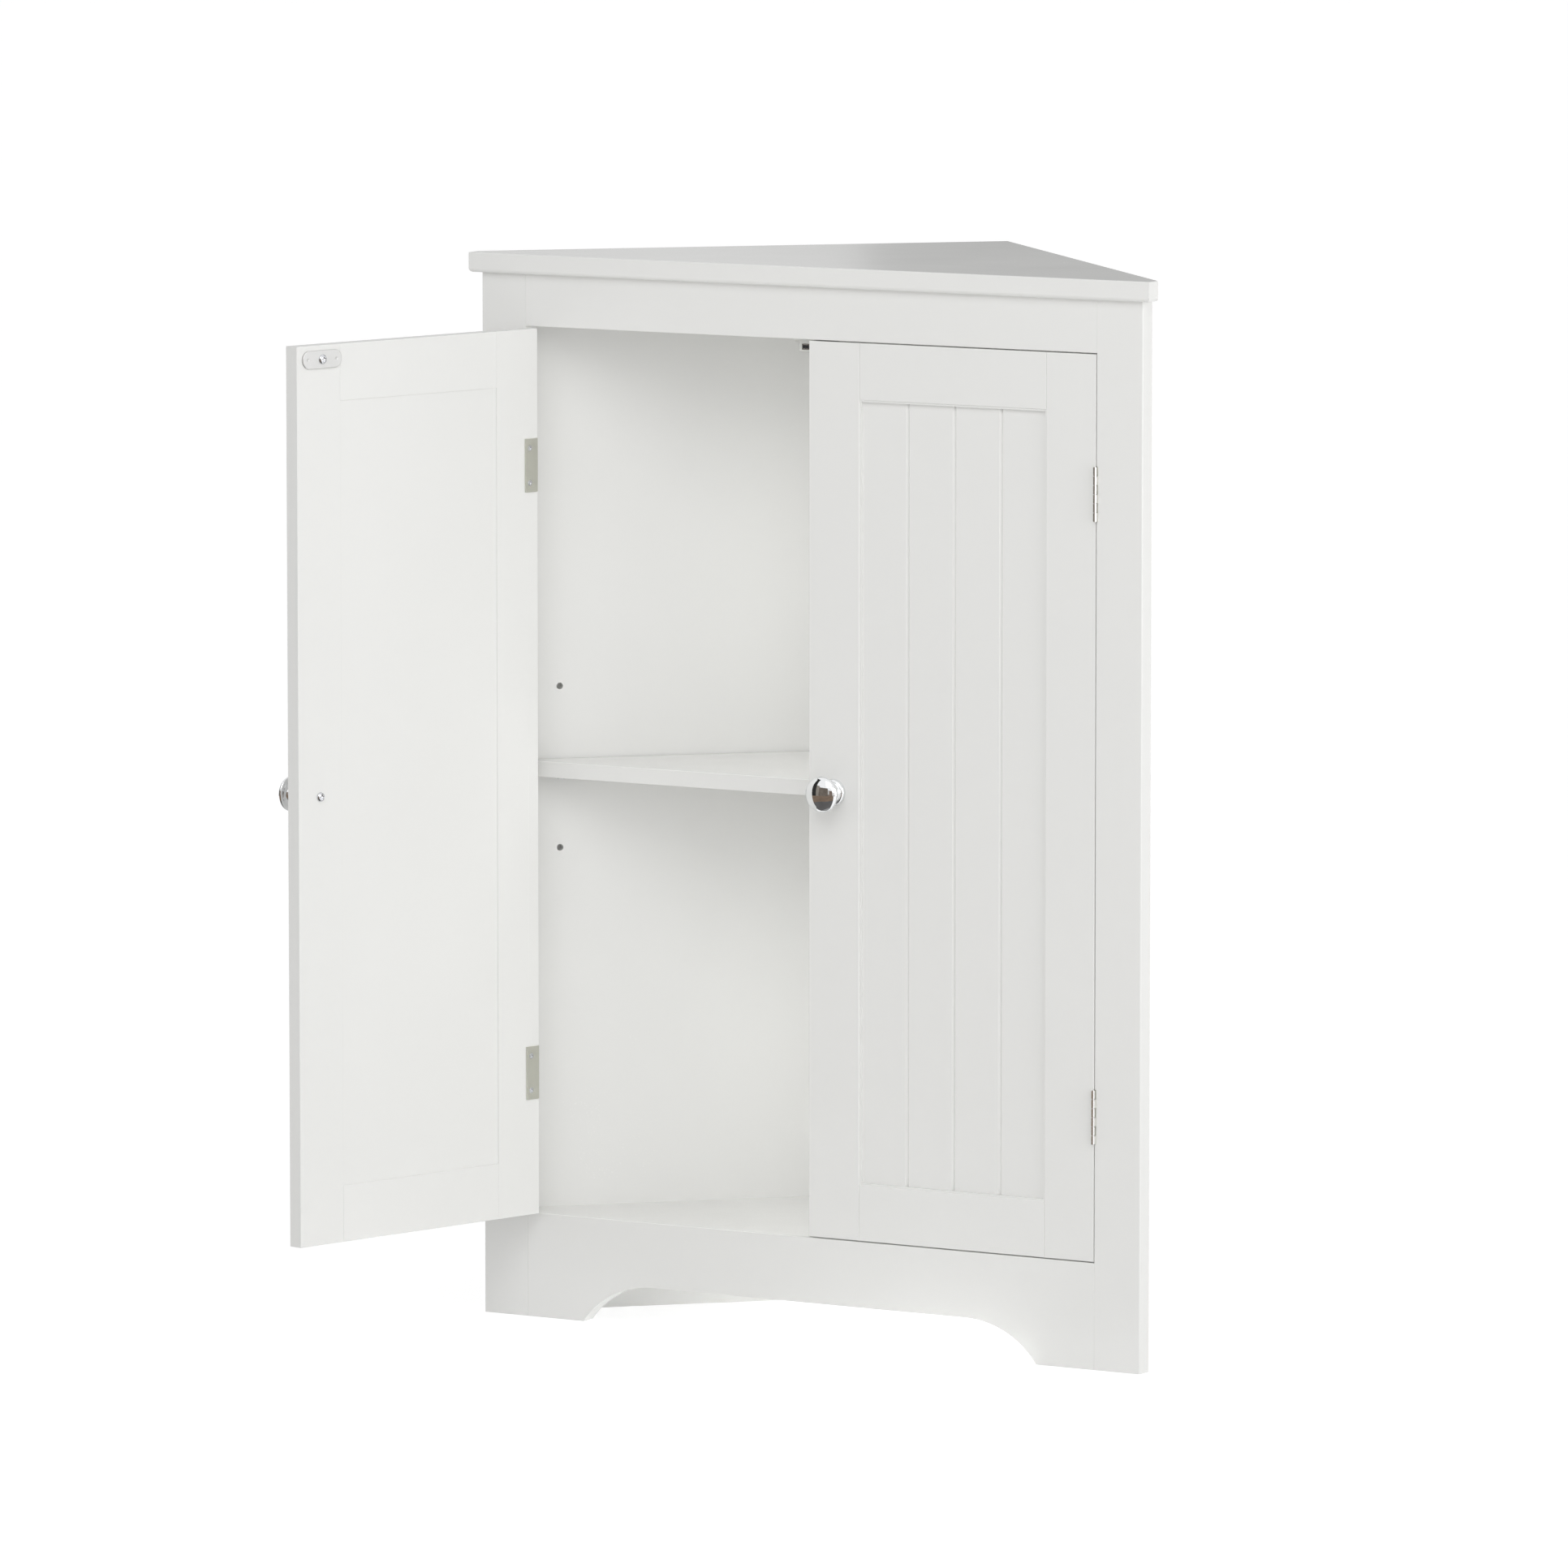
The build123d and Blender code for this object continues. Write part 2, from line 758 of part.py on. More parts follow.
def knuckles(side, base, own):
    """The knuckles of one leaf in the open part: every second one, bored for the pin later."""
    height = knuckle_pitch - knuckle_gap
    for index in range(own, knuckle_count, 2):
        low = base + index * knuckle_pitch + knuckle_gap / 2
        with BuildSketch(Plane.XY.offset(low)) as ring:
            with Locations((sides[side] * hinge_x, hinge_y)):
                Circle(knuckle_radius)
        extrude(ring.sketch, amount=height)
        yield low, low + height


def bore_pin(side, base):
    """The hole for the hinge pin through the open leaf."""
    foot = Vector(sides[side] * hinge_x, hinge_y, base - 1)
    bore(foot, up, hinge_pin_radius + hinge_pin_clearance, hinge_height + 2)


def frame_leaf_screws(side, base):
    """Head and outward direction of the two screws that hold a leaf in the stile's edge."""
    middle = base + hinge_height / 2
    outward = Vector(-sides[side], 0, 0)
    x = sides[side] * half_opening
    y = frame_front + leaf_screw_inset
    return [(Vector(x, y, middle + step * leaf_screw_spacing / 2), outward) for step in (-1, 1)]


def door_leaf_screws(door, base):
    """Head and outward direction of the two screws that hold a leaf on the door's back."""
    middle = base + hinge_height / 2
    reach = door_near + leaf_screw_wrap_inset
    depth = door_thickness + leaf_thickness
    heights = [middle + step * leaf_screw_spacing / 2 for step in (-1, 1)]
    return [(door.point(reach, depth, height), door.back) for height in heights]


def frame_leaf(side, level):
    """The straight leaf let into the stile's edge, with its knuckles in front of the gap."""
    hand = sides[side]
    base = hinge_bases[level]
    near, far = sorted((hand * half_opening, hand * (half_opening + leaf_thickness)))
    with BuildPart() as leaf:
        block((near, frame_front, base), (far, frame_front + leaf_depth, base + hinge_height))
        for low, high in knuckles(side, base, 0):
            block((near, hinge_y, low), (far, frame_front, high))
        bore_pin(side, base)
        sink_leaf_screws(frame_leaf_screws(side, base))
    return leaf


def door_leaf(door, level):
    """The leaf that runs back along the door's edge and wraps on to its back face."""
    base = hinge_bases[level]
    inner = door_near + leaf_thickness
    depth = door_thickness + leaf_thickness
    hand = door.hand
    corners = [
        (door_near, 0),
        (door_near, depth),
        (door_near + leaf_wrap_width, depth),
        (door_near + leaf_wrap_width, door_thickness),
        (inner, door_thickness),
        (inner, 0),
    ]
    with BuildPart(door.plane) as leaf:
        with BuildSketch(door.plane.offset(base)):
            Polygon(*[(hand * x, y) for x, y in corners], align=None)
        extrude(amount=hinge_height)
        bend = [
            edge
            for edge in leaf.edges().filter_by(Axis.Z)
            if (edge.center() - door.point(door_near, depth, edge.center().Z)).length < 0.1
        ]
        fillet(bend, radius=leaf_bend_radius)
        for low, high in knuckles_on(door, base):
            door.block((door_near, -hinge_setoff, low), (inner, 0, high))
        bore_pin(door.side, base)
        sink_leaf_screws(door_leaf_screws(door, base))
    return leaf


def knuckles_on(door, base):
    """The door leaf's own knuckles."""
    return knuckles(door.side, base, 1)


def hinge_pin(side, level):
    """The pin through all the knuckles, with a small rounding at each end."""
    length = hinge_height + 2 * hinge_pin_overhang
    foot = Vector(sides[side] * hinge_x, hinge_y, hinge_bases[level] - hinge_pin_overhang)
    tip = hinge_pin_radius - 0.2
    outline = [(0, 0), (tip, 0), (hinge_pin_radius, 0.2), (hinge_pin_radius, length - 0.2)]
    with BuildPart() as pin:
        turn(foot, up, outline + [(tip, length), (0, length)])
    return pin


def leaf_screws(places):
    """Countersunk screws of the hinge leaves, a group of separate solids."""
    with BuildPart() as group:
        for origin, outward in places:
            screw(origin, outward, leaf_screw_radius, leaf_screw_head_radius, leaf_screw_length)
    return group


# Knobs, strike plates and catch

def knob(door):
    """A turned mushroom knob: round foot, waisted neck, rolled rim and domed face."""
    origin = door.point(knob_reach, 0, knob_level)
    outward = -door.back
    foot_edge = 2.0
    with BuildPart() as body:
        with BuildSketch(turning_plane(origin, outward)) as profile:
            with BuildLine():
                Line((0, 0), (knob_base_radius, 0))
                Line((knob_base_radius, 0), (knob_base_radius, foot_edge))
                ThreePointArc(
                    (knob_base_radius, foot_edge),
                    (knob_base_radius - 0.7, foot_edge + 1.5),
                    (knob_base_radius - 2.2, foot_edge + 2.2),
                )
                Spline(
                    (knob_base_radius - 2.2, foot_edge + 2.2),
                    (knob_neck_radius, knob_rim_height * 0.55),
                    (knob_head_radius - 2.5, knob_rim_height - 1.6),
                    tangents=[(-1, 0.25), (1, 0.25)],
                )
                ThreePointArc(
                    (knob_head_radius - 2.5, knob_rim_height - 1.6),
                    (knob_head_radius - 0.4, knob_rim_height - 0.9),
                    (knob_head_radius, knob_rim_height),
                )
                Spline(
                    (knob_head_radius, knob_rim_height),
                    (knob_head_radius * 0.62, knob_height - 1.3),
                    (0, knob_height),
                    tangents=[(-0.1, 1), (-1, 0)],
                )
                Line((0, knob_height), (0, 0))
            make_face()
        revolve(profile.sketch, axis=Axis(origin, outward))
        bore(origin, outward, knob_screw_radius + fixing_clearance, knob_screw_reach + 1)
    return body


def knob_screw(door):
    """The machine screw through the door into the knob."""
    origin = door.point(knob_reach, door_thickness, knob_level)
    length = door_thickness + knob_screw_reach
    with BuildPart() as piece:
        screw(
            origin,
            door.back,
            knob_screw_radius,
            knob_screw_head_radius,
            length,
            knob_screw_head_height,
        )
    return piece


def strike_plate(door):
    """The round-ended steel plate that the magnets pull, with a dimple near each end."""
    middle = door.point(door_far - strike_edge_inset, door_thickness, strike_level)
    face = Plane(origin=middle, x_dir=door.x_dir, z_dir=door.back)
    with BuildPart() as plate:
        with BuildSketch(face) as outline:
            SlotOverall(strike_length, strike_height)
        extrude(outline.sketch, amount=strike_thickness)
        bore(middle, door.back, strike_screw_radius + fixing_clearance, strike_thickness)
        for step in (-1, 1):
            foot = middle + door.x_dir * (step * strike_dimple_spacing / 2) + door.back * strike_thickness
            bore(foot, -door.back, strike_dimple_radius, strike_thickness / 2)
    return plate


def strike_screw(door):
    """The pan-headed screw in the middle of a strike plate."""
    origin = door.point(door_far - strike_edge_inset, door_thickness + strike_thickness, strike_level)
    with BuildPart() as piece:
        screw(
            origin,
            door.back,
            strike_screw_radius,
            strike_screw_head_radius,
            strike_screw_length,
            strike_screw_head_height,
        )
    return piece


def catch_screws():
    """Head seat and outward direction of the two screws in the catch's flange."""
    level = flange_top - catch_screw_drop
    depth = frame_back + catch_flange_thickness
    return [(Vector(step * catch_screw_spacing / 2, depth, level), rearward) for step in (-1, 1)]


def magnet_box(step, clearance=0.0):
    """The corners of one magnet with its two pole plates, for the magnets and their pockets."""
    centre = step * magnet_offset
    half = magnet_length / 2 + clearance
    rise = magnet_rise + clearance
    low = (centre - half, frame_back, magnet_level - rise)
    return low, (centre + half, frame_back + magnet_depth + clearance, magnet_level + rise)


def catch_housing():
    """The catch's plastic housing: a block for two magnets and a flange behind the top rail."""
    half_block = catch_block_width / 2
    half_flange = catch_flange_width / 2
    with BuildPart() as housing:
        block(
            (-half_block, frame_back, catch_base),
            (half_block, frame_back + catch_block_depth, catch_top),
        )
        fillet(housing.edges().filter_by(Axis.X), radius=opening_edge_radius)
        block(
            (-half_flange, frame_back, flange_base),
            (half_flange, frame_back + catch_flange_thickness, flange_top),
        )
        for step in (-1, 1):
            low, high = magnet_box(step, catch_pocket_clearance)
            block((low[0], low[1] - 1, low[2]), high, mode=Mode.SUBTRACT)
        for origin, outward in catch_screws():
            radius = catch_screw_radius + fixing_clearance
            bore(origin + outward, -outward, radius, catch_flange_thickness + 2)
    return housing


def catch_magnets():
    """The two magnets, each between its pole plates."""
    with BuildPart() as group:
        for step in (-1, 1):
            low, high = magnet_box(step)
            half = magnet_thickness / 2
            block((low[0], low[1] + 1, magnet_level - half), (high[0], high[1], magnet_level + half))
    return group


def catch_pole_plates():
    """The steel plates above and below each magnet."""
    with BuildPart() as group:
        for step in (-1, 1):
            low, high = magnet_box(step)
            for edge in (low[2], high[2] - pole_thickness):
                block((low[0], low[1], edge), (high[0], high[1], edge + pole_thickness))
    return group


def catch_screw_group():
    """The two pan-headed screws of the catch."""
    with BuildPart() as group:
        for origin, outward in catch_screws():
            screw(
                origin,
                outward,
                catch_screw_radius,
                catch_screw_head_radius,
                catch_screw_length,
                catch_screw_head_height,
            )
    return group


# Build every piece and write its file
save(top_panel(), "top_panel")
save(bottom_panel(), "bottom_panel")
save(frame_rail("top"), "top_rail")
save(frame_rail("apron"), "apron_rail")
for side in sides:
    save(side_panel(side), f"{side}_side_panel")
    save(frame_stile(side), f"{side}_stile")
    save(corner_cleat(side), f"{side}_corner_cleat")
save(dowels(frame_dowels()), "frame_dowels")
save(dowels(board_dowels()), "board_dowels")
save(cam_bolts(), "cam_bolts")
save(cam_nuts(), "cam_nuts")
save(corner_screw_group(), "corner_screws")
save(shelf(), "adjustable_shelf")
save(shelf_supports(), "shelf_supports")
save(catch_housing(), "catch_housing")
save(catch_magnets(), "catch_magnets")
save(catch_pole_plates(), "catch_pole_plates")
save(catch_screw_group(), "catch_screws")

frame_places = []
for door in (Door("left", left_door_opening), Door("right", 0)):
    name = f"{door.side}_door"
    save(door_stile(door, "hinge"), f"{name}_hinge_stile")
    save(door_stile(door, "lock"), f"{name}_lock_stile")
    save(door_rail(door, "top"), f"{name}_top_rail")
    save(door_rail(door, "bottom"), f"{name}_bottom_rail")
    save(door_panel(door), f"{name}_panel")
    save(knob(door), f"{door.side}_knob")
    save(knob_screw(door), f"{door.side}_knob_screw")
    save(strike_plate(door), f"{door.side}_strike_plate")
    save(strike_screw(door), f"{door.side}_strike_screw")
    for level in hinge_bases:
        save(frame_leaf(door.side, level), f"{door.side}_{level}_frame_leaf")
        save(door_leaf(door, level), f"{door.side}_{level}_door_leaf")
        save(hinge_pin(door.side, level), f"{door.side}_{level}_hinge_pin")
    places = []
    for base in hinge_bases.values():
        places += door_leaf_screws(door, base)
        frame_places += frame_leaf_screws(door.side, base)
    save(leaf_screws(places), f"{door.side}_door_leaf_screws")
save(leaf_screws(frame_places), "frame_leaf_screws")
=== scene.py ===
import bpy
import json
import numpy as np
from math import cos, pi, radians, sin
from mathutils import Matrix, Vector


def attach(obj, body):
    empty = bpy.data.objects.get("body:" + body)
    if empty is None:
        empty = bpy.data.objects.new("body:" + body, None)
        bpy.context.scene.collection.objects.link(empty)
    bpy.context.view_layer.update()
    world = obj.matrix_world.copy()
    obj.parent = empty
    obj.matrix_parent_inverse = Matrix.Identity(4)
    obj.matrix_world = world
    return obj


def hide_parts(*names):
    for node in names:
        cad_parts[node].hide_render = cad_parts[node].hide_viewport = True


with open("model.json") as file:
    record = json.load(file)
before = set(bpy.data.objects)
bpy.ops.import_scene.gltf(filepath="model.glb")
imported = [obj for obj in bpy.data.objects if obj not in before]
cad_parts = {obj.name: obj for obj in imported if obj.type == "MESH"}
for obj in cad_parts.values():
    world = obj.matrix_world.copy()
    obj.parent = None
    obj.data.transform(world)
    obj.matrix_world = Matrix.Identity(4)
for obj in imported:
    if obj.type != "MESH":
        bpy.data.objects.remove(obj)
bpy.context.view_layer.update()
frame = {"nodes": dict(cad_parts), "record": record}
nodes = frame["nodes"]


print("frame loaded:", len(nodes), "nodes")


# Camera: a long lens from the front right, a little above the cabinet
cameraSettings = {
    "position": (4.5682, -8.0179, 1.4698),
    "turn": 30.716,   # degrees round Z, to the left of +Y
    "dip": 6.691,     # degrees below level
    "lens": 281.11,
    "sensor": 36,
    "farthest": 100,
}


def placeCamera(settings):
    data = bpy.data.cameras.new("photoCamera")
    data.lens = settings["lens"]
    data.sensor_width = settings["sensor"]
    data.clip_end = settings["farthest"]
    camera = bpy.data.objects.new("photoCamera", data)
    camera.location = settings["position"]
    camera.rotation_euler = (radians(90 - settings["dip"]), 0, radians(settings["turn"]))
    bpy.context.scene.collection.objects.link(camera)
    bpy.context.scene.camera = camera


placeCamera(cameraSettings)
bpy.context.scene.view_settings.view_transform = "Standard"
print("camera placed")


# Surfaces worked out on grids
mergeDistance = 1e-7


def gridPiece(name, grid, smooth=True, closeAround=True):
    # grid[i, j] is a point: i runs along the profile and j round it. Each square of four
    # neighbours is a face, and rows that shrink to a point are merged into one vertex.
    # Faces look outward when the profile runs outward along its axis and j turns left round it.
    rows, columns = grid.shape[:2]
    i = np.arange(rows - 1)[:, None]
    j = np.arange(columns if closeAround else columns - 1)[None, :]
    nextJ = (j + 1) % columns
    quads = np.stack(
        [i * columns + j, i * columns + nextJ, (i + 1) * columns + nextJ, (i + 1) * columns + j], axis=-1
    ).reshape(-1, 4)
    points = grid.reshape(-1, 3)
    keys = np.round(points / mergeDistance).astype(np.int64)
    _, first, inverse = np.unique(keys, axis=0, return_index=True, return_inverse=True)
    quads = inverse.reshape(-1)[quads]
    repeated = quads == np.roll(quads, -1, axis=1)
    whole = quads[~repeated.any(axis=1)]
    short = quads[repeated.sum(axis=1) == 1]
    keep = ~(short == np.roll(short, -1, axis=1))
    triangles = short[keep].reshape(-1, 3)
    mesh = bpy.data.meshes.new(name)
    mesh.from_pydata(points[first].tolist(), [], whole.tolist() + triangles.tolist())
    mesh.polygons.foreach_set("use_smooth", np.full(len(mesh.polygons), smooth))
    mesh.update()
    piece = bpy.data.objects.new(name, mesh)
    bpy.context.scene.collection.objects.link(piece)
    return piece


def axesFor(outward):
    # Two directions square to the outward one, so that (across, upward, outward) is right-handed
    out = np.array(outward, float)
    out /= np.linalg.norm(out)
    across = np.cross((0, 0, 1.0), out)
    across /= np.linalg.norm(across)
    return across, np.cross(out, across), out


def turned(name, radius, height, origin, outward, steps):
    # A turned solid: point(t, a) = origin + outward * height(t)
    #                               + (across * cos a + upward * sin a) * radius(t)
    across, upward, out = axesFor(outward)
    angle = np.linspace(0, 2 * pi, steps, endpoint=False)
    ring = np.cos(angle)[None, :, None] * across + np.sin(angle)[None, :, None] * upward
    grid = np.array(origin) + height[:, None, None] * out + radius[:, None, None] * ring
    return gridPiece(name, grid)


def hermite(start, end, startSlope, endSlope, count):
    # A cubic from start to end that leaves and arrives along the two given vectors
    t = np.linspace(0, 1, count)[:, None]
    start, end = np.array(start, float), np.array(end, float)
    leave, arrive = np.array(startSlope, float), np.array(endSlope, float)
    return (
        (2 * t**3 - 3 * t**2 + 1) * start
        + (t**3 - 2 * t**2 + t) * leave
        + (3 * t**2 - 2 * t**3) * end
        + (t**3 - t**2) * arrive
    )


# Shader groups

def newGroup(name, inputs, outputs):
    group = bpy.data.node_groups.new(name, "ShaderNodeTree")
    for label, kind, value in inputs:
        socket = group.interface.new_socket(name=label, in_out="INPUT", socket_type=kind)
        socket.default_value = value
    for label, kind in outputs:
        group.interface.new_socket(name=label, in_out="OUTPUT", socket_type=kind)
    into = group.nodes.new("NodeGroupInput")
    out = group.nodes.new("NodeGroupOutput")
    return group, into, out


def addNode(tree, kind, values=None, **settings):
    node = tree.nodes.new(kind)
    for key, value in settings.items():
        setattr(node, key, value)
    for key, value in (values or {}).items():
        node.inputs[key].default_value = value
    return node


def mapRange(tree, source, low, high, outLow, outHigh):
    node = addNode(tree, "ShaderNodeMapRange", {1: low, 2: high, 3: outLow, 4: outHigh})
    tree.links.new(source, node.inputs[0])
    return node.outputs[0]


def math(tree, operation, first, second):
    node = addNode(tree, "ShaderNodeMath", operation=operation)
    for socket, value in zip(node.inputs, (first, second)):
        if isinstance(value, (int, float)):
            socket.default_value = value
        else:
            tree.links.new(value, socket)
    return node.outputs[0]


lacquerSettings = {
    "nibScale": 60.0, "nibSize": 0.035, "nibHeight": 0.8,
    "peelSheen": 0.06, "driftSheen": 0.12,   # how far each moves the roughness
}


def lacquerGroup(s):
    # Sprayed lacquer: fine orange peel, slow drift of sheen and tone, and a few dust nibs
    group, into, out = newGroup(
        "lacquerFilm",
        [("Peel", "NodeSocketFloat", 700.0), ("Drift", "NodeSocketFloat", 7.0),
         ("Roughness", "NodeSocketFloat", 0.4), ("Tone Spread", "NodeSocketFloat", 0.012)],
        [("Tone", "NodeSocketFloat"), ("Roughness", "NodeSocketFloat"), ("Height", "NodeSocketFloat")],
    )
    link = group.links.new
    place = addNode(group, "ShaderNodeTexCoord")
    peel = addNode(group, "ShaderNodeTexNoise", {"Detail": 2.0, "Roughness": 0.45})
    drift = addNode(group, "ShaderNodeTexNoise", {"Detail": 3.0, "Roughness": 0.5})
    nibs = addNode(group, "ShaderNodeTexVoronoi", {"Scale": s["nibScale"], "Randomness": 1.0})
    for texture in (peel, drift, nibs):
        link(place.outputs["Object"], texture.inputs["Vector"])
    link(into.outputs["Peel"], peel.inputs["Scale"])
    link(into.outputs["Drift"], drift.inputs["Scale"])
    nib = mapRange(group, nibs.outputs["Distance"], 0.0, s["nibSize"], 1.0, 0.0)
    height = math(group, "ADD", peel.outputs["Fac"], math(group, "MULTIPLY", nib, s["nibHeight"]))
    centredPeel = math(group, "SUBTRACT", peel.outputs["Fac"], 0.5)
    centredDrift = math(group, "SUBTRACT", drift.outputs["Fac"], 0.5)
    toneChange = math(group, "MULTIPLY", centredDrift, into.outputs["Tone Spread"])
    tone = math(group, "ADD", toneChange, 1.0)
    fine = math(group, "MULTIPLY", centredPeel, s["peelSheen"])
    slow = math(group, "MULTIPLY", centredDrift, s["driftSheen"])
    rough = math(group, "ADD", math(group, "ADD", fine, slow), into.outputs["Roughness"])
    link(tone, out.inputs["Tone"])
    link(rough, out.inputs["Roughness"])
    link(height, out.inputs["Height"])
    return group


handlingSettings = {
    "cloudScale": 90.0, "smearFrom": 0.42, "smearTo": 0.7,   # where in the cloud smears start and end
    "brightest": 1.02, "scratchTone": 0.06,
}


def handlingGroup(s):
    # Handled metal: fine scratches one way, cloudy smears and a little tone change
    group, into, out = newGroup(
        "handledMetal",
        [("Roughness", "NodeSocketFloat", 0.1), ("Smear", "NodeSocketFloat", 0.05),
         ("Scratch Scale", "NodeSocketFloat", 900.0), ("Stretch", "NodeSocketFloat", 0.05)],
        [("Tone", "NodeSocketFloat"), ("Roughness", "NodeSocketFloat"), ("Height", "NodeSocketFloat")],
    )
    link = group.links.new
    place = addNode(group, "ShaderNodeTexCoord")
    squeeze = addNode(group, "ShaderNodeCombineXYZ", {"X": 1.0, "Y": 1.0})
    link(into.outputs["Stretch"], squeeze.inputs["Z"])
    stretched = addNode(group, "ShaderNodeVectorMath", operation="MULTIPLY")
    link(place.outputs["Object"], stretched.inputs[0])
    link(squeeze.outputs[0], stretched.inputs[1])
    scratch = addNode(group, "ShaderNodeTexNoise", {"Detail": 4.0, "Roughness": 0.7})
    link(stretched.outputs[0], scratch.inputs["Vector"])
    link(into.outputs["Scratch Scale"], scratch.inputs["Scale"])
    cloud = addNode(
        group, "ShaderNodeTexNoise", {"Scale": s["cloudScale"], "Detail": 5.0, "Roughness": 0.55}
    )
    link(place.outputs["Object"], cloud.inputs["Vector"])
    smear = mapRange(group, cloud.outputs["Fac"], s["smearFrom"], s["smearTo"], 0.0, 1.0)
    added = math(group, "MULTIPLY", smear, into.outputs["Smear"])
    rough = math(group, "ADD", into.outputs["Roughness"], added)
    darker = math(group, "MULTIPLY", scratch.outputs["Fac"], s["scratchTone"])
    tone = math(group, "SUBTRACT", s["brightest"], darker)
    link(tone, out.inputs["Tone"])
    link(rough, out.inputs["Roughness"])
    link(scratch.outputs["Fac"], out.inputs["Height"])
    return group


lacquerFilm = lacquerGroup(lacquerSettings)
handledMetal = handlingGroup(handlingSettings)


def finish(name, group, groupValues, colour, bump, constants):
    # A Principled surface whose tone, roughness and bump come from the group; the rest is fixed
    material = bpy.data.materials.new(name)
    material.use_nodes = True
    tree = material.node_tree
    shader = tree.nodes["Principled BSDF"]
    use = addNode(tree, "ShaderNodeGroup", node_tree=group)
    for key, value in groupValues.items():
        use.inputs[key].default_value = value
    tint = addNode(tree, "ShaderNodeMix", data_type="RGBA", blend_type="MULTIPLY")
    tint.inputs["Factor"].default_value = 1.0
    tint.inputs[6].default_value = (*colour, 1.0)
    tree.links.new(use.outputs["Tone"], tint.inputs[7])
    tree.links.new(tint.outputs[2], shader.inputs["Base Color"])
    tree.links.new(use.outputs["Roughness"], shader.inputs["Roughness"])
    relief = addNode(tree, "ShaderNodeBump", {"Strength": bump[0], "Distance": bump[1]})
    tree.links.new(use.outputs["Height"], relief.inputs["Height"])
    tree.links.new(relief.outputs["Normal"], shader.inputs["Normal"])
    for key, value in constants.items():
        shader.inputs[key].default_value = value
    return material


beechSettings = {
    "scale": (60.0, 900.0, 900.0),
    "dark": (0.46, 0.30, 0.17, 1), "darkAt": 0.35,
    "pale": (0.66, 0.49, 0.31, 1), "paleAt": 0.62,
    "bump": (0.4, 0.0001),
    "grain": (0.3, 0.7), "roughness": (0.5, 0.75),   # the grain's range and the roughness at its ends
}


def beechFinish(s):
    # Turned beech: pale wood with darker flecks drawn out along one way
    material = bpy.data.materials.new("beechDowel")
    material.use_nodes = True
    tree = material.node_tree
    shader = tree.nodes["Principled BSDF"]
    place = addNode(tree, "ShaderNodeTexCoord")
    stretch = addNode(tree, "ShaderNodeMapping")
    stretch.inputs["Scale"].default_value = s["scale"]
    grain = addNode(tree, "ShaderNodeTexNoise", {"Scale": 1.0, "Detail": 6.0, "Roughness": 0.65})
    ramp = addNode(tree, "ShaderNodeValToRGB")
    for element, shade in zip(ramp.color_ramp.elements, ("dark", "pale")):
        element.position = s[shade + "At"]
        element.color = s[shade]
    relief = addNode(tree, "ShaderNodeBump", {"Strength": s["bump"][0], "Distance": s["bump"][1]})
    tree.links.new(place.outputs["Object"], stretch.inputs["Vector"])
    tree.links.new(stretch.outputs[0], grain.inputs["Vector"])
    tree.links.new(grain.outputs["Fac"], ramp.inputs["Fac"])
    tree.links.new(ramp.outputs["Color"], shader.inputs["Base Color"])
    tree.links.new(grain.outputs["Fac"], relief.inputs["Height"])
    tree.links.new(relief.outputs["Normal"], shader.inputs["Normal"])
    rough = mapRange(tree, grain.outputs["Fac"], *s["grain"], *s["roughness"])
    tree.links.new(rough, shader.inputs["Roughness"])
    return material


whiteLacquer = finish(
    "whiteLacquer", lacquerFilm,
    {"Roughness": 0.24}, (0.86, 0.86, 0.844), (0.18, 0.00003),
    {"IOR": 1.46},
)
polishedChrome = finish(
    "polishedChrome", handledMetal,
    {"Roughness": 0.025, "Smear": 0.05, "Scratch Scale": 500.0, "Stretch": 0.4},
    (0.86, 0.87, 0.88), (0.03, 0.00002),
    {"Metallic": 1.0},
)
hingeSteel = finish(
    "hingeSteel", handledMetal,
    {"Roughness": 0.38, "Smear": 0.12, "Scratch Scale": 1600.0, "Stretch": 0.03},
    (0.70, 0.70, 0.635), (0.12, 0.00003),
    {"Metallic": 1.0},
)
satinNickel = finish(
    "satinNickel", handledMetal,
    {"Roughness": 0.5, "Smear": 0.06, "Scratch Scale": 1800.0, "Stretch": 0.5},
    (0.71, 0.71, 0.705), (0.05, 0.00002),
    {"Metallic": 1.0},
)
brightZinc = finish(
    "brightZinc", handledMetal,
    {"Roughness": 0.09, "Smear": 0.06, "Scratch Scale": 900.0, "Stretch": 0.5},
    (0.72, 0.73, 0.76), (0.05, 0.00002),
    {"Metallic": 1.0},
)
zincSteel = finish(
    "zincSteel", handledMetal,
    {"Roughness": 0.2, "Smear": 0.12, "Scratch Scale": 1200.0, "Stretch": 0.2},
    (0.66, 0.67, 0.68), (0.1, 0.00003),
    {"Metallic": 1.0},
)
catchPlastic = finish(
    "catchPlastic", lacquerFilm,
    {"Peel": 1500.0, "Drift": 30.0, "Roughness": 0.48, "Tone Spread": 0.03},
    (0.80, 0.80, 0.77), (0.35, 0.00004),
    {"IOR": 1.5},
)
ferrite = finish(
    "ferrite", lacquerFilm,
    {"Peel": 2500.0, "Drift": 60.0, "Roughness": 0.6, "Tone Spread": 0.2},
    (0.035, 0.035, 0.04), (0.5, 0.00005),
    {"IOR": 1.6},
)
beechDowel = beechFinish(beechSettings)
finishBySlot = {
    "painted_board": whiteLacquer,
    "bare_wood": beechDowel,
    "polished_chrome": polishedChrome,
    "hinge_steel": hingeSteel,
    "zinc_steel": zincSteel,
    "catch_plastic": catchPlastic,
    "ferrite": ferrite,
}


def dress(piece, material):
    piece.data.materials.clear()
    piece.data.materials.append(material)


for part in frame["record"]["subparts"]:
    dress(nodes[part["node"]], finishBySlot[part["material_slot"]])
print("finishes assigned")


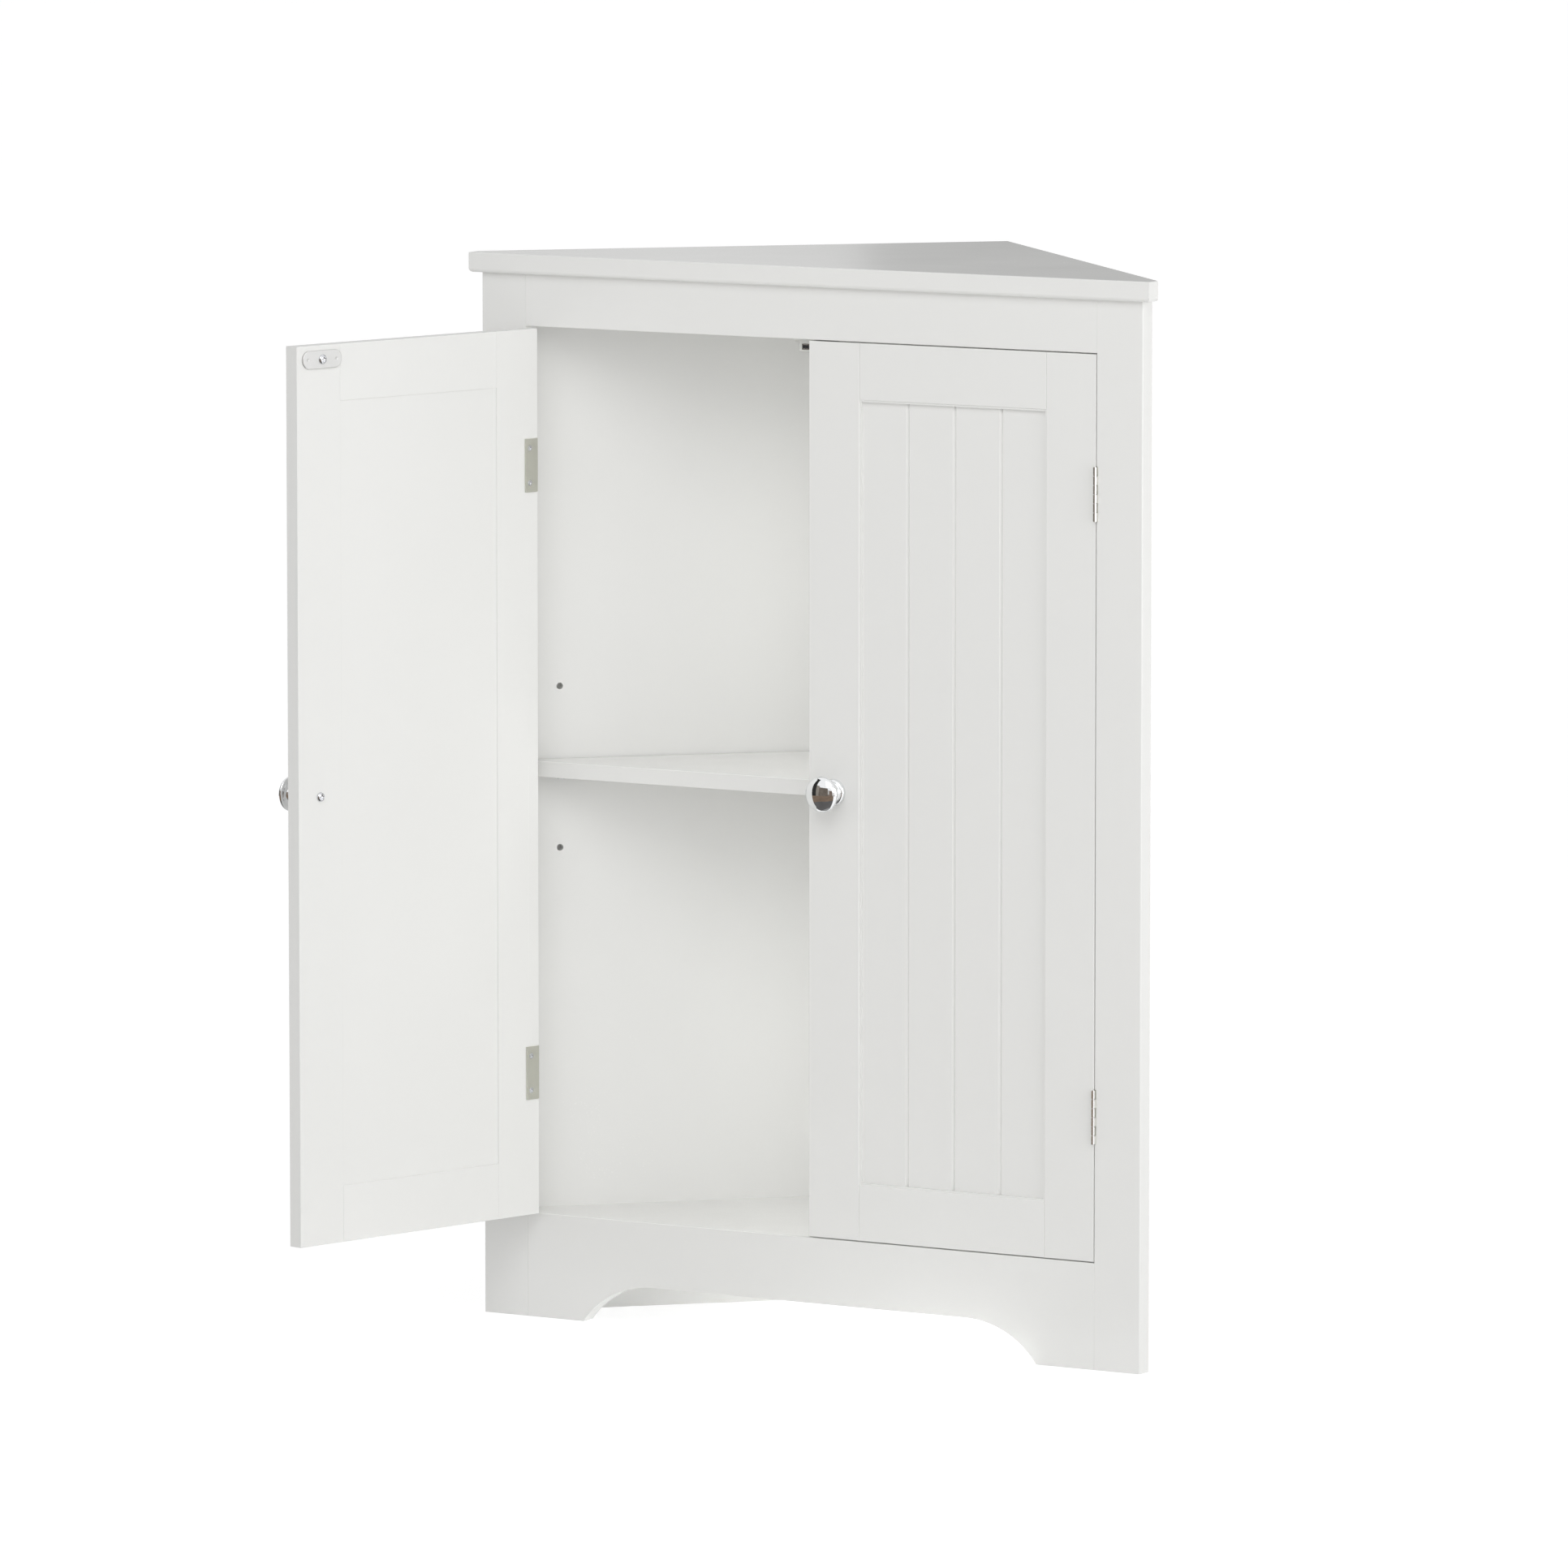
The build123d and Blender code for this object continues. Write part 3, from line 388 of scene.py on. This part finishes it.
# Doors: where the hinge lines stand and how far each door is open at rest, in millimetres and degrees
doorSettings = {
    "hingeX": 243.45,
    "hingeY": -297.5,
    "setoff": 2.0,      # from the hinge line back to the door's front face
    "opening": {"left": 104.7, "right": 0.0},
    "thickness": 12.0,
    "width": 242.15,    # from the hinge line to the free edge
}


def doorPoint(side, reach, depth, height):
    # A point in metres by its distance from the hinge line, depth behind the front face and
    # height in millimetres, with the directions along the door and out of its back
    hand = 1 if side == "left" else -1
    turn = radians(doorSettings["opening"][side]) * hand
    along = np.array([cos(turn), -sin(turn), 0.0])
    back = np.array([sin(turn), cos(turn), 0.0])
    hinge = np.array([-hand * doorSettings["hingeX"], doorSettings["hingeY"], height])
    point = hinge + along * hand * reach + back * (doorSettings["setoff"] + depth)
    return point / 1000, along, back


# Knuckles: a painted highlight, paler in colour and smoother within the first distance from either hinge
# line, plain beyond the second
barrelHighlightSettings = {"reach": (0.0017, 0.0021), "colour": (0.93, 0.93, 0.92), "roughness": 0.4}


def paintBarrelHighlight(material, s, door):
    # The knuckles get a painted highlight, a paler base colour, and a lower roughness: mask(x, y) =
    # distance from (|x|, y) to the hinge line
    tree = material.node_tree
    shader = tree.nodes["Principled BSDF"]
    colour = shader.inputs["Base Color"].links[0].from_socket
    rough = shader.inputs["Roughness"].links[0].from_socket
    place = addNode(tree, "ShaderNodeTexCoord")
    split = addNode(tree, "ShaderNodeSeparateXYZ")
    tree.links.new(place.outputs["Object"], split.inputs[0])
    sideways = math(tree, "ABSOLUTE", split.outputs["X"], 0.0)
    across = math(tree, "SUBTRACT", sideways, door["hingeX"] / 1000)
    deep = math(tree, "SUBTRACT", split.outputs["Y"], door["hingeY"] / 1000)
    squares = math(tree, "ADD", math(tree, "MULTIPLY", across, across), math(tree, "MULTIPLY", deep, deep))
    barrel = mapRange(tree, math(tree, "SQRT", squares, 0.0), *s["reach"], 1.0, 0.0)
    # Painted highlight: the base colour turns paler on the knuckles
    bright = addNode(tree, "ShaderNodeMix", data_type="RGBA")
    bright.inputs[7].default_value = (*s["colour"], 1.0)
    tree.links.new(barrel, bright.inputs["Factor"])
    tree.links.new(colour, bright.inputs[6])
    tree.links.new(bright.outputs[2], shader.inputs["Base Color"])
    smoother = mapRange(tree, barrel, 0.0, 1.0, 1.0, s["roughness"])
    tree.links.new(math(tree, "MULTIPLY", rough, smoother), shader.inputs["Roughness"])


paintBarrelHighlight(hingeSteel, barrelHighlightSettings, doorSettings)


# Knobs: a turned profile from the foot to the middle of the dome, as (radius, level) in millimetres
knobSettings = {
    "reach": 220.65, "level": 412.5, "steps": 128,
    "footRadius": 9.7,
    # each stretch: its end, the slopes it leaves and arrives with, and its number of points
    "stretches": (
        # the foot's lower edge, its side, and its shoulder in to the neck
        ((10.0, 0.3), (0.5, 0.0), (0.0, 0.5), 6),
        ((10.0, 2.0), (0.0, 1.5), (0.0, 1.5), 4),
        ((7.8, 4.2), (0.0, 2.6), (-3.4, 0.2), 14),
        ((6.0, 9.9), (-2.6, 0.8), (0.0, 7.5), 22),
        # the neck's flare, the rolled rim and the dome
        ((11.0, 16.4), (0.0, 7.5), (5.6, 1.2), 26),
        ((13.5, 18.0), (3.4, 0.5), (0.0, 1.9), 18),
        ((0.0, 24.0), (0.0, 9.5), (-17.5, 0.0), 54),
    ),
}


def knobProfile(s):
    # Radius and height in metres along the profile, as cubic stretches
    profile = [(0.0, 0.0), (s["footRadius"], 0.0)]
    for end, leave, arrive, count in s["stretches"]:
        profile.extend(hermite(profile[-1], end, leave, arrive, count)[1:])
    profile = np.array(profile) / 1000
    return profile[:, 0], profile[:, 1]


def makeKnob(side, s):
    radius, height = knobProfile(s)
    origin, _, back = doorPoint(side, s["reach"], 0.0, s["level"])
    knob = turned(f"{side}KnobTurned", radius, height, origin, -back, s["steps"])
    dress(knob, polishedChrome)
    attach(knob, f"{side}_door")
    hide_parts(f"{side}_knob")


for side in ("left", "right"):
    makeKnob(side, knobSettings)
print("knobs turned")


# Screw heads with a cross recess, in millimetres; all share the sizes in headSettings
screwSettings = {
    "knob": {
        "radius": 3.5, "rise": 2.2, "crown": 2.6, "slot": 0.62, "reach": 2.0, "depth": 1.1,
        "shank": 2.0, "countersunk": False,
    },
    "strike": {
        "radius": 3.6, "rise": 2.0, "crown": 2.4, "slot": 0.6, "reach": 1.9, "depth": 1.0,
        "shank": 1.5, "countersunk": False,
    },
    "leaf": {
        "radius": 2.1, "rise": 0.12, "crown": 2.0, "slot": 0.42, "reach": 1.15, "depth": 0.6,
        "shank": 1.25, "countersunk": True,
    },
}
headSettings = {
    "around": 72, "across": 26,
    "slotSoftness": 0.09,   # as a share of the slot's half width
    "lip": 0.97,            # the underside's first ring, as a share of the radius
    "land": 0.1, "cone": 0.6, "tip": 1.0,
}


def slotMask(distance, s):
    # 1 inside a slot and 0 beside it: mask(d) = 1 / (1 + e ^ ((|d| - slot) / (slot * softness)))
    softness = s["slot"] * headSettings["slotSoftness"]
    return 1 / (1 + np.exp((np.abs(distance) - s["slot"]) / softness))


def headGrid(s, origin, outward):
    # A domed head: height(r) = rise * (1 - (r / radius) ^ crown) ^ (1 / crown), less a cross of
    # two slots whose floor rises towards their ends. Under it lies a flat or a cone, then the shank.
    h = headSettings
    side, upward, out = axesFor(outward)
    share = np.sin(np.linspace(0, pi / 2, h["across"]))
    angle = np.linspace(0, 2 * pi, h["around"], endpoint=False)
    everywhere = np.ones(h["around"])
    r = share[:, None] * s["radius"] * everywhere
    x, y = r * np.cos(angle), r * np.sin(angle)
    dome = s["rise"] * np.clip(1 - share ** s["crown"], 0, 1)[:, None] ** (1 / s["crown"])
    arm = np.maximum(slotMask(x, s), slotMask(y, s))
    taper = np.clip(1 - (r / s["reach"]) ** 3, 0, 1)
    z = dome - s["depth"] * arm * taper
    if s["countersunk"]:
        land, neck = -h["land"], -h["land"] - h["cone"] * (s["radius"] - s["shank"])
    else:
        land, neck = 0.0, 0.0
    underRadius = np.array([s["radius"] * h["lip"], s["shank"], s["shank"], 0.0])
    underHeight = np.array([land, neck, neck - h["tip"], neck - h["tip"]])
    radius = np.vstack([r, underRadius[:, None] * everywhere])
    height = np.vstack([z, underHeight[:, None] * everywhere])
    ring = np.cos(angle)[None, :, None] * side + np.sin(angle)[None, :, None] * upward
    grid = np.array(origin) + (height[..., None] * out + radius[..., None] * ring) / 1000
    return grid[::-1]


def makeScrews(name, node, s, places, body):
    # One piece for each head; together they stand for the node
    for index, (origin, outward) in enumerate(places):
        head = gridPiece(f"{name}{index + 1}", headGrid(s, origin, outward))
        dress(head, brightZinc)
        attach(head, body)
        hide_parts(node)


hardwareSettings = {
    "strikeInset": 24.5, "strikeLevel": 734.8, "strikeThickness": 1.2,
    "leafInset": 9.15, "leafLevels": (187.0, 643.5), "leafScrewOffsets": (-13.0, 13.0),
    "leafThickness": 1.2,
}


def dressDoorHardware(side, h):
    body = f"{side}_door"
    door = doorSettings
    knobScrew = doorPoint(side, knobSettings["reach"], door["thickness"], knobSettings["level"])
    makeScrews(f"{side}KnobScrewHead", f"{side}_knob_screw", screwSettings["knob"],
               [(knobScrew[0], knobScrew[2])], body)
    strikeTop = door["thickness"] + h["strikeThickness"]
    strikeScrew = doorPoint(side, door["width"] - h["strikeInset"], strikeTop, h["strikeLevel"])
    makeScrews(f"{side}StrikeScrewHead", f"{side}_strike_screw", screwSettings["strike"],
               [(strikeScrew[0], strikeScrew[2])], body)
    leafTop = door["thickness"] + h["leafThickness"]
    places = []
    for level in h["leafLevels"]:
        for offset in h["leafScrewOffsets"]:
            spot, _, back = doorPoint(side, h["leafInset"], leafTop, level + offset)
            places.append((spot, back))
    makeScrews(f"{side}LeafScrewHead", f"{side}_door_leaf_screws", screwSettings["leaf"], places, body)


for side in ("left", "right"):
    dressDoorHardware(side, hardwareSettings)
print("screw heads made")


# Strike plates: a round-ended plate with a soft edge and a pressed dimple near each end
strikeSettings = {
    "length": 38.6, "height": 13.5, "thickness": 1.2, "edge": 0.45,
    "dimpleSpacing": 28.0, "dimpleRadius": 0.95, "dimpleDepth": 0.28,
    "around": 160, "flatRings": 28, "edgeRings": 12,
    "endShare": 6,      # how fast the outline passes from one round end to the other
    "crowding": 0.8,    # below 1 the flat's rings crowd towards its edge
}


def strikeGrid(s, origin, along, outward):
    # outline(a): the nearest point on the plate's middle line plus the end radius, so the ends are
    # round; inner rings shrink towards the middle line. Height falls over the last bit as a quarter
    # round, and each dimple takes away depth * exp(-(distance / radius) ^ 4).
    half, end = s["length"] / 2 - s["height"] / 2, s["height"] / 2
    angle = np.linspace(0, 2 * pi, s["around"], endpoint=False)
    spread = np.clip(np.cos(angle) * s["endShare"], -1, 1) * half
    flat = np.linspace(0, 1, s["flatRings"], endpoint=False) ** s["crowding"] * (end - s["edge"])
    edge = end - s["edge"] * (1 - np.sin(np.linspace(0, pi / 2, s["edgeRings"])))
    inset = np.concatenate([flat, edge])
    x = spread + inset[:, None] * np.cos(angle)
    y = inset[:, None] * np.sin(angle)
    into = np.clip((inset - (end - s["edge"])) / s["edge"], 0, 1)
    z = s["thickness"] - s["edge"] * (1 - np.sqrt(1 - into**2))
    z = z[:, None] * np.ones(s["around"])
    for sign in (-1, 1):
        distance = np.hypot(x - sign * s["dimpleSpacing"] / 2, y)
        z = z - s["dimpleDepth"] * np.exp(-((distance / s["dimpleRadius"]) ** 4))
    x = np.vstack([x, x[-1:], spread[None, :]])
    y = np.vstack([y, y[-1:], 0 * y[-1:]])
    z = np.vstack([z, np.zeros((2, s["around"]))])
    up = np.array([0, 0, 1.0])
    return np.array(origin) + (x[..., None] * along + y[..., None] * up + z[..., None] * outward) / 1000


def makeStrike(side, s, h):
    reach = doorSettings["width"] - h["strikeInset"]
    spot, along, back = doorPoint(side, reach, doorSettings["thickness"], h["strikeLevel"])
    plate = gridPiece(f"{side}StrikePressed", strikeGrid(s, spot, along, back))
    dress(plate, satinNickel)
    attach(plate, f"{side}_door")
    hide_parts(f"{side}_strike_plate")


for side in ("left", "right"):
    makeStrike(side, strikeSettings, hardwareSettings)
print("strike plates pressed")


# Studio: a pale floor, a white surround, soft lamps, and cards that only polished surfaces see
studioSettings = {
    "floorColour": (0.86, 0.86, 0.855),
    "floorRings": (30.0, 6.0, 2.0, 0.0), "floorSteps": 96,
    # what the lens sees of the floor: an even glow, and a grey that takes the shadow
    "floorGlow": 0.83, "floorShade": 0.31,
    # the surround's light on other surfaces, level with the floor and overhead
    "horizon": 1.0, "zenith": 0.35,
    "middle": (0.0, -0.2, 0.42),
    "lamps": {
        # degrees to the right of the front, degrees up, metres away, side of the square, watts
        "keyLamp": (20, 40, 3.0, 1.6, 17.0),
        "nearLamp": (50, 14, 1.9, 1.2, 1.6),
        "sideLamp": (85, 10, 1.9, 1.2, 7.1),
    },
    # weak lamps in the compartments and under the floor panel, for light thrown back and forth
    # there: level, height, downward tilt and watts
    "compartments": {
        "centre": (0.138, -0.203), "facing": (-1.0, -1.0), "width": 0.14,
        "lamps": ((0.034, 0.05, 0.0, 0.41), (0.25, 0.16, 0.6, 0.23), (0.61, 0.16, 0.6, 0.23)),
    },
}


def areaLamp(name, place, aim, width, height, power):
    data = bpy.data.lights.new(name, "AREA")
    data.shape = "RECTANGLE"
    data.size = width
    data.size_y = height
    data.energy = power
    lamp = bpy.data.objects.new(name, data)
    lamp.location = place
    toward = Vector(aim) - Vector(place)
    lamp.rotation_euler = toward.to_track_quat("-Z", "Y").to_euler()
    lamp.visible_camera = False
    bpy.context.scene.collection.objects.link(lamp)
    return lamp


def around(middle, azimuth, elevation, distance):
    # A point by its direction from the middle: degrees right of the front and degrees up
    a, e = radians(azimuth), radians(elevation)
    step = np.array([cos(e) * sin(a), -cos(e) * cos(a), sin(e)])
    return tuple(np.array(middle) + distance * step)


def hangLamps(s):
    for name, (azimuth, elevation, distance, size, power) in s["lamps"].items():
        place = around(s["middle"], azimuth, elevation, distance)
        areaLamp(name, place, s["middle"], size, size, power)
    inner = s["compartments"]
    x, y = inner["centre"]
    across, ahead = inner["facing"]
    for index, (level, height, tilt, power) in enumerate(inner["lamps"]):
        aim = (x + across, y + ahead, level - tilt)
        name = f"compartmentLamp{index + 1}"
        lamp = areaLamp(name, (x, y, level), aim, inner["width"], height, power)
        lamp.visible_glossy = False


def seenDirectly(tree):
    # 1 for what the lens, polished metal and glass see, 0 for what lights other surfaces
    path = addNode(tree, "ShaderNodeLightPath")
    seen = math(tree, "MAXIMUM", path.outputs["Is Camera Ray"], path.outputs["Is Glossy Ray"])
    return math(tree, "MAXIMUM", seen, path.outputs["Is Transmission Ray"])


def floorFinish(s):
    material = bpy.data.materials.new("paleFloor")
    material.use_nodes = True
    tree = material.node_tree
    tree.nodes.clear()
    out = addNode(tree, "ShaderNodeOutputMaterial")
    matte = addNode(tree, "ShaderNodeBsdfDiffuse", {"Color": (*s["floorColour"], 1.0)})
    glow = addNode(tree, "ShaderNodeEmission", {"Color": (1, 1, 1, 1), "Strength": s["floorGlow"]})
    shade = addNode(tree, "ShaderNodeBsdfDiffuse", {"Color": (*[s["floorShade"]] * 3, 1.0)})
    both = addNode(tree, "ShaderNodeAddShader")
    pick = addNode(tree, "ShaderNodeMixShader")
    tree.links.new(glow.outputs[0], both.inputs[0])
    tree.links.new(shade.outputs[0], both.inputs[1])
    tree.links.new(seenDirectly(tree), pick.inputs[0])
    tree.links.new(matte.outputs[0], pick.inputs[1])
    tree.links.new(both.outputs[0], pick.inputs[2])
    tree.links.new(pick.outputs[0], out.inputs["Surface"])
    return material


def makeFloor(s):
    # A level disc that faces up: point(r, a) = (r cos a, r sin a, 0)
    r = np.array(s["floorRings"])
    angle = np.linspace(0, 2 * pi, s["floorSteps"], endpoint=False)
    grid = np.stack([r[:, None] * np.cos(angle), r[:, None] * np.sin(angle), 0 * r[:, None] * angle], -1)
    floor = gridPiece("studioFloor", grid, smooth=False)
    dress(floor, floorFinish(s))


def makeSurround(s):
    world = bpy.data.worlds.new("whiteSurround")
    bpy.context.scene.world = world
    world.use_nodes = True
    tree = world.node_tree
    tree.nodes.clear()
    out = addNode(tree, "ShaderNodeOutputWorld")
    lit = addNode(tree, "ShaderNodeBackground", {"Color": (1, 1, 1, 1)})
    place = addNode(tree, "ShaderNodeTexCoord")
    split = addNode(tree, "ShaderNodeSeparateXYZ")
    tree.links.new(place.outputs["Generated"], split.inputs[0])
    tree.links.new(mapRange(tree, split.outputs["Z"], 0.0, 1.0, s["horizon"], s["zenith"]),
                   lit.inputs["Strength"])
    seen = addNode(tree, "ShaderNodeBackground", {"Color": (1, 1, 1, 1), "Strength": 1.0})
    pick = addNode(tree, "ShaderNodeMixShader")
    tree.links.new(seenDirectly(tree), pick.inputs[0])
    tree.links.new(lit.outputs[0], pick.inputs[1])
    tree.links.new(seen.outputs[0], pick.inputs[2])
    tree.links.new(pick.outputs[0], out.inputs["Surface"])


# Cards: painted reflections of a room, glows that only polished surfaces see. Each is a piece of a
# sphere round the middle of the knobs, given in degrees right of the front and degrees up, with its
# distance and its colour; the low ones lie flat on the floor
cardSettings = {
    "middle": (0.02, -0.31, 0.41),
    "cards": {
        "greyWall": ((-39, -25), (-8, 24), 3.0, (0.270, 0.245, 0.215)),
        "taupeWall": ((-25, 10), (-8, 20), 3.0, (0.165, 0.140, 0.118)),
        "brightDoorway": ((10, 16), (-2, 14), 2.95, (0.52, 0.50, 0.48)),
        "brownWall": ((10, 34), (-8, 13), 3.0, (0.205, 0.160, 0.132)),
        "darkCurtain": ((-84, -38), (-14, 50), 2.9, (0.030, 0.029, 0.028)),
        "paleWall": ((34, 62), (-8, 8), 3.0, (0.50, 0.48, 0.46)),
        "behindLeft": ((-150.4, -95), (0, 60), 2.6, (0.72, 0.72, 0.72)),
        "behindRight": ((149, 209.6), (0, 60), 2.6, (0.34, 0.34, 0.34)),
    },
    "floorCards": {
        "paleMat": ((-62, 60), (0.02, 0.20), 0.004, (0.30, 0.30, 0.30)),
        "nearRug": ((-62, 44), (0.20, 0.80), 0.004, (0.128, 0.124, 0.122)),
        "farBoards": ((-62, 44), (0.80, 3.0), 0.003, (0.205, 0.150, 0.112)),
    },
    "columns": 25, "rows": 13, "floorRows": 9,
    "cloudScale": 1.6, "cloud": (0.3, 0.7), "strength": (0.85, 1.15),
}


def paintedReflectionFinish(name, colour, s):
    # An uneven glow that polished surfaces see: a painted reflection
    material = bpy.data.materials.new(name + "Card")
    material.use_nodes = True
    tree = material.node_tree
    tree.nodes.clear()
    out = addNode(tree, "ShaderNodeOutputMaterial")
    place = addNode(tree, "ShaderNodeTexCoord")
    cloud = addNode(tree, "ShaderNodeTexNoise", {"Scale": s["cloudScale"], "Detail": 2.0})
    glow = addNode(tree, "ShaderNodeEmission", {"Color": (*colour, 1.0)})
    tree.links.new(place.outputs["Object"], cloud.inputs["Vector"])
    uneven = mapRange(tree, cloud.outputs["Fac"], *s["cloud"], *s["strength"])
    tree.links.new(uneven, glow.inputs["Strength"])
    tree.links.new(glow.outputs[0], out.inputs["Surface"])
    return material


def standCard(name, grid, colour, s):
    card = gridPiece(name, grid, smooth=False, closeAround=False)
    dress(card, paintedReflectionFinish(name, colour, s))
    card.visible_camera = False
    card.visible_diffuse = False
    card.visible_shadow = False
    card.visible_transmission = False


def standCards(s):
    middle = np.array(s["middle"])
    for name, (turns, rises, distance, colour) in s["cards"].items():
        # point(e, a) = middle + distance * (cos e sin a, -cos e cos a, sin e)
        a = np.radians(np.linspace(*turns, s["columns"]))[None, :]
        e = np.radians(np.linspace(*rises, s["rows"]))[:, None]
        ball = np.stack([np.cos(e) * np.sin(a), -np.cos(e) * np.cos(a), np.sin(e) * np.ones_like(a)], -1)
        standCard(name, middle + distance * ball, colour, s)
    for name, (turns, reaches, level, colour) in s["floorCards"].items():
        # point(r, a) = (middle x + r sin a, middle y - r cos a, level)
        a = np.radians(np.linspace(*turns, s["columns"]))[None, :]
        r = np.linspace(*reaches, s["floorRows"])[:, None]
        flat = np.stack([middle[0] + r * np.sin(a), middle[1] - r * np.cos(a), level + 0 * r * a], -1)
        standCard(name, flat, colour, s)


makeFloor(studioSettings)
makeSurround(studioSettings)
hangLamps(studioSettings)
standCards(cardSettings)
print("studio lit")
